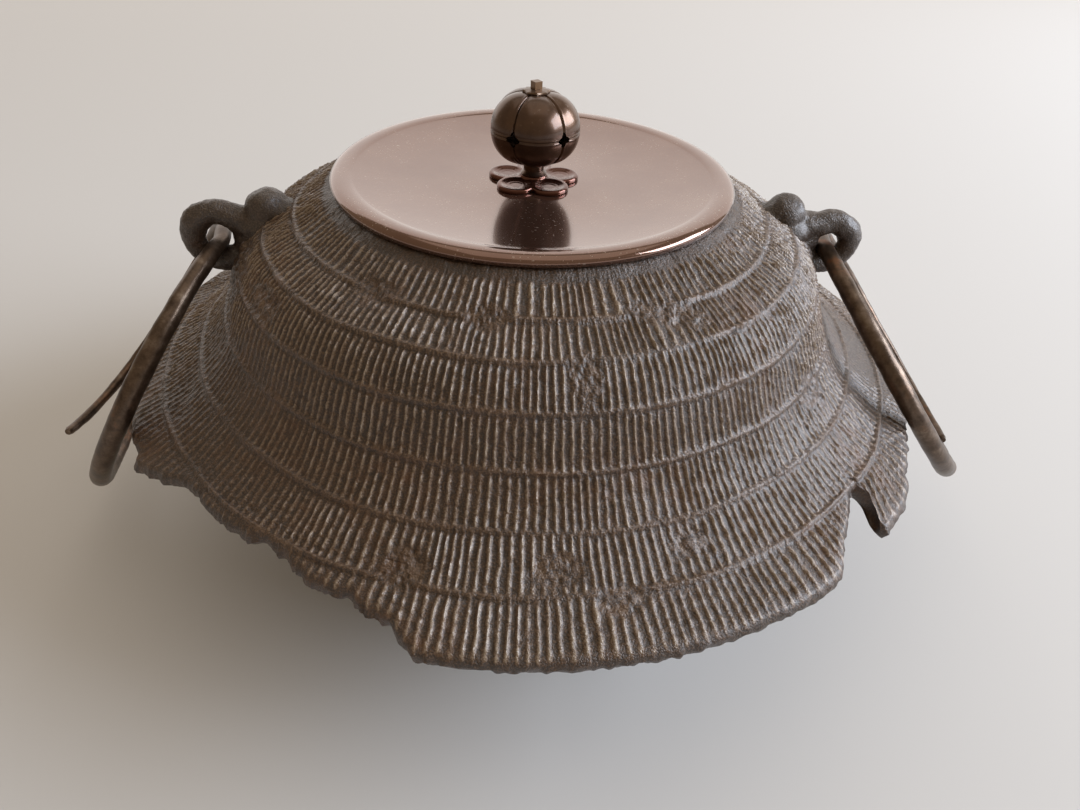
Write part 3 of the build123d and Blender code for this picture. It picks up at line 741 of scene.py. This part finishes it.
seat_parts = [petal(index) for index in range(5)]
start_fresh()
bpy.ops.mesh.primitive_cylinder_add(
    vertices=64, radius=hub_radius, depth=hub_height, location=(0, 0, dish_floor + hub_height / 2)
)
bpy.ops.object.transform_apply(location=True, rotation=False, scale=False)
seat_parts.append(bpy.context.object)
flower = grown_together(seat_parts, "flower_seat_chased", 0.2 * mm, 12)
smooth(flower, 60)
knob_bronze = patinated_bronze("dark_patinated_bronze", "#43322A", "#6A5241", 0.3, 0.25, 0.3)
seat_bronze = patinated_bronze("seat_patinated_bronze", "#4A2A20", "#6A4030", 0.2, 0.3, 0.4)
dress(flower, seat_bronze, "lid", "knob_bronze", "flower_seat")

# The knob is a hollow gardenia fruit in two cast bronze shells, an upper cap and a lower cup.
# Five grooves part its lobes, a seam runs round it, and a four pointed opening pierces each crossing.
fruit_centre = dish_floor + 16.35 * mm
fruit_phase = 20.0
lobe_radius = 9.6 * mm
lobe_reach = 4.0 * mm
lobe_straight = 1.5 * mm
fruit_wall = 1.5 * mm
fruit_split = -0.5 * mm
star_reach = 2.3 * mm
groove_width = 0.22 * mm
groove_depth = 0.4 * mm


def lobed(directions, radius):
    """Reach of five grown together upright bars with round ends, along unit directions from the centre."""
    far = np.zeros(len(directions))
    level = np.hypot(directions[:, 0], directions[:, 1])
    for index in range(5):
        angle = math.radians(fruit_phase + 36 + index * 72)
        centre = np.array([math.cos(angle), math.sin(angle), 0]) * lobe_reach
        flat = directions[:, :2] @ centre[:2]
        side = (flat + np.sqrt(np.maximum(flat ** 2 + level ** 2 * (radius ** 2 - lobe_reach ** 2), 0)))
        side = side / np.maximum(level, 1e-9) ** 2
        beyond = np.abs(side * directions[:, 2]) > lobe_straight / 2
        end = centre + [0, 0, lobe_straight / 2]
        ray = np.stack([directions[:, 0], directions[:, 1], np.abs(directions[:, 2])], axis=1)
        toward = ray @ end
        round_end = toward + np.sqrt(np.maximum(toward ** 2 - end @ end + radius ** 2, 0))
        far = np.maximum(far, np.where(beyond, round_end, side))
    return far


def fruit_half(name, upper):
    """One shell of the fruit: a ball cut at the seam, drawn out to five lobes, grooved and pierced."""
    start_fresh()
    bpy.ops.mesh.primitive_uv_sphere_add(segments=240, ring_count=120, radius=1.0, location=(0, 0, 0))
    piece = bpy.context.object
    piece.name = name
    piece.data.name = name
    directions = points_of(piece)
    directions /= np.linalg.norm(directions, axis=1)[:, None]
    far = lobed(directions, lobe_radius)
    places = directions * far[:, None]
    azimuth = np.degrees(np.arctan2(places[:, 1], places[:, 0]))
    off = (azimuth - fruit_phase + 36) % 72 - 36
    across = np.radians(off) * np.hypot(places[:, 0], places[:, 1])
    cut = np.exp(-(across / groove_width) ** 2) * groove_depth
    bead = np.exp(-((np.abs(across) - 0.6 * mm) / (0.22 * mm)) ** 2) * 0.12 * mm
    level = places[:, 2] - fruit_split
    cut += np.exp(-(level / (0.16 * mm)) ** 2) * 0.3 * mm
    bead += np.exp(-((np.abs(level) - 0.45 * mm) / (0.2 * mm)) ** 2) * 0.12 * mm
    places -= directions * (cut - bead)[:, None]
    places[:, 2] += fruit_centre
    set_points(piece, places)
    bpy.ops.object.mode_set(mode="EDIT")
    bpy.ops.mesh.select_all(action="SELECT")
    bpy.ops.mesh.bisect(
        plane_co=(0, 0, fruit_centre + fruit_split), plane_no=(0, 0, 1),
        clear_inner=upper, clear_outer=not upper, use_fill=False,
    )
    bpy.ops.object.mode_set(mode="OBJECT")
    shell = piece.modifiers.new("wall", "SOLIDIFY")
    shell.thickness = fruit_wall
    shell.offset = -1
    bpy.ops.object.modifier_apply(modifier=shell.name)
    return piece


def star(index):
    """A four pointed punch for one opening."""
    start_fresh()
    bpy.ops.mesh.primitive_circle_add(vertices=32, radius=star_reach, fill_type="NGON", location=(0, 0, 0))
    punch = bpy.context.object
    places = points_of(punch)
    angle = np.arctan2(places[:, 1], places[:, 0])
    reach = star_reach * (0.6 + 0.4 * np.abs(np.cos(2 * angle)) ** 1.8)
    places[:, 0], places[:, 1] = reach * np.cos(angle), reach * np.sin(angle)
    set_points(punch, places)
    bpy.ops.object.mode_set(mode="EDIT")
    bpy.ops.mesh.select_all(action="SELECT")
    bpy.ops.mesh.extrude_region_move(TRANSFORM_OT_translate={"value": (0, 0, 9 * mm)})
    bpy.ops.mesh.select_all(action="SELECT")
    bpy.ops.mesh.normals_make_consistent(inside=False)
    bpy.ops.object.mode_set(mode="OBJECT")
    azimuth = math.radians(fruit_phase + index * 72)
    stand = Matrix.Rotation(azimuth, 4, "Z") @ Matrix.Rotation(math.pi / 2, 4, "Y")
    out = Vector((math.cos(azimuth), math.sin(azimuth), 0)) * 7 * mm
    punch.data.transform(Matrix.Translation(out + Vector((0, 0, fruit_centre + fruit_split))) @ stand)
    return punch


def pierce(piece, punches):
    """Each punch cut from the piece, both being closed."""
    for punch in punches:
        start_fresh()
        bpy.context.view_layer.objects.active = piece
        piece.select_set(True)
        cut = piece.modifiers.new("opening", "BOOLEAN")
        cut.operation = "DIFFERENCE"
        cut.solver = "MANIFOLD"
        cut.object = punch
        bpy.ops.object.modifier_apply(modifier=cut.name)


punches = [star(index) for index in range(5)]
cap = fruit_half("knob_cap", True)
cup = fruit_half("knob_cup", False)
pierce(cap, punches)
pierce(cup, punches)
for punch in punches:
    bpy.data.objects.remove(punch)
smooth(cap, 38)
smooth(cup, 38)
dress(cap, knob_bronze, "knob", "knob_bronze", "knob_upper_cap")
dress(cup, knob_bronze, "knob", "knob_bronze", "knob_lower_cup")

# A short turned stalk joins the cup to the flower; it is part of the cup's casting.
stalk_low = dish_floor + hub_height + 0.1 * mm
stalk_high = fruit_centre - lobe_straight / 2 - lobe_radius + 2.6 * mm
stalk_section = [
    (1.5 * mm, stalk_low), (3.9 * mm, stalk_low), (4.0 * mm, stalk_low + 0.3 * mm), (3.5 * mm, stalk_low + 0.7 * mm),
    (3.1 * mm, stalk_low + 1.2 * mm), (3.3 * mm, stalk_high - 0.6 * mm), (3.9 * mm, stalk_high),
    (1.5 * mm, stalk_high),
]
stalk = spun("knob_stalk", stalk_section, 64)
smooth(stalk, 40)
dress(stalk, knob_bronze, "knob", "knob_bronze")

# The calyx is a little scalloped washer that closes the top of the fruit round the pin.
calyx_low = fruit_centre + lobe_straight / 2 + math.sqrt(lobe_radius ** 2 - lobe_reach ** 2) - 0.5 * mm
calyx_section = [
    (1.45 * mm, calyx_low), (3.3 * mm, calyx_low), (4.0 * mm, calyx_low + 1.1 * mm), (4.2 * mm, calyx_low + 1.6 * mm),
    (4.0 * mm, calyx_low + 2.0 * mm), (2.6 * mm, calyx_low + 2.2 * mm), (1.45 * mm, calyx_low + 2.3 * mm),
]
calyx = spun("knob_calyx_scalloped", calyx_section, 96)
calyx_places = points_of(calyx)
calyx_turn = np.arctan2(calyx_places[:, 1], calyx_places[:, 0])
calyx_reach = np.hypot(calyx_places[:, 0], calyx_places[:, 1])
scallop = 1 - 0.14 * np.abs(np.sin(calyx_turn * 4)) ** 0.7 * np.clip((calyx_reach / mm - 1.6) / 2, 0, 1)
calyx_places[:, :2] *= scallop[:, None]
set_points(calyx, calyx_places)
smooth(calyx, 40)
calyx_bronze = patinated_bronze("rubbed_calyx_bronze", "#5C4A3C", "#7D6857", 0.36, 0.3, 0.2)
dress(calyx, calyx_bronze, "knob", "knob_bronze", "knob_calyx")

# The pin runs from the square stub on top down through the lid, where its two ends are bent apart.
# The stub is rubbed to lighter brown bronze by fingers; the washer under the lid is plain sheet.
worn_bronze = patinated_bronze("rubbed_bronze", "#5A4330", "#8A6B4E", 0.35, 0.1, 0.2)
for name, finish in (("knob_pin", worn_bronze), ("lid_back_washer", knob_bronze)):
    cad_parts[name].data.materials.clear()
    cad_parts[name].data.materials.append(finish)

# Plain pale floor and soft light: a broad window light from the right, a wall of light behind and a ceiling light
# above, in a dim warm room.
start_fresh()
bpy.ops.mesh.primitive_plane_add(size=8, location=(0, 2, 0))
floor = bpy.context.object
floor.name = "floor"
floor_paint = new_material("pale_matt_floor")
floor_shader = add(floor_paint, "BsdfPrincipled", {"Base Color": linear("#CFCDCA"), "Roughness": 0.75})
add(floor_paint, "OutputMaterial", {"Surface": floor_shader.outputs[0]})
floor.data.materials.append(floor_paint)

world = bpy.data.worlds.new("soft_room")
bpy.context.scene.world = world
world.use_nodes = True
world.node_tree.nodes["Background"].inputs["Color"].default_value = linear("#EBD3B4")
world.node_tree.nodes["Background"].inputs["Strength"].default_value = 0.42


def soft_light(name, place, target, size, watts, colour):
    data = bpy.data.lights.new(name, "AREA")
    data.shape = "RECTANGLE"
    data.size, data.size_y = size
    data.energy = watts
    data.color = linear(colour)[:3]
    lamp = bpy.data.objects.new(name, data)
    bpy.context.collection.objects.link(lamp)
    aim = Vector(target) - Vector(place)
    lamp.matrix_world = Matrix.Translation(place) @ aim.to_track_quat("-Z", "Y").to_matrix().to_4x4()
    lamp.visible_camera = False
    return lamp


middle = (0, 0, 0.08)
soft_light("window", (1.95, -0.2, 0.95), (0, 0, 0.1), (1.6, 1.1), 72.0, "#E6F0FF")
soft_light("far_wall", (0.1, 1.6, 0.85), (0.1, 0, 0.85), (4.6, 1.6), 21.5, "#FCFCFF")
soft_light("ceiling", (0.2, 0.3, 2.3), (0.2, 0.3, 0), (2.4, 2.4), 9.0, "#FFFBF5")

# The camera stands where the photograph was taken: a phone held above the near edge of the table.
photo_width = 1080
focal_pixels = 811
look_down = math.radians(36.76)
tilt = math.radians(2.77)
kettle_turn = math.radians(5.5)
camera_data = bpy.data.cameras.new("camera")
camera_data.sensor_width = 36
camera_data.lens = focal_pixels / photo_width * 36
camera = bpy.data.objects.new("camera", camera_data)
bpy.context.collection.objects.link(camera)
stand_off = Vector((0.089, -3.962, 1.488)) * lid_radius
turn_back = Matrix.Rotation(-kettle_turn, 4, "Z")
camera.matrix_world = (
    Matrix.Translation(turn_back @ stand_off + Vector((0, 0, lid_top))) @ turn_back
    @ Matrix.Rotation(math.pi / 2 - look_down, 4, "X") @ Matrix.Rotation(tilt, 4, "Z")
)
bpy.context.scene.camera = camera
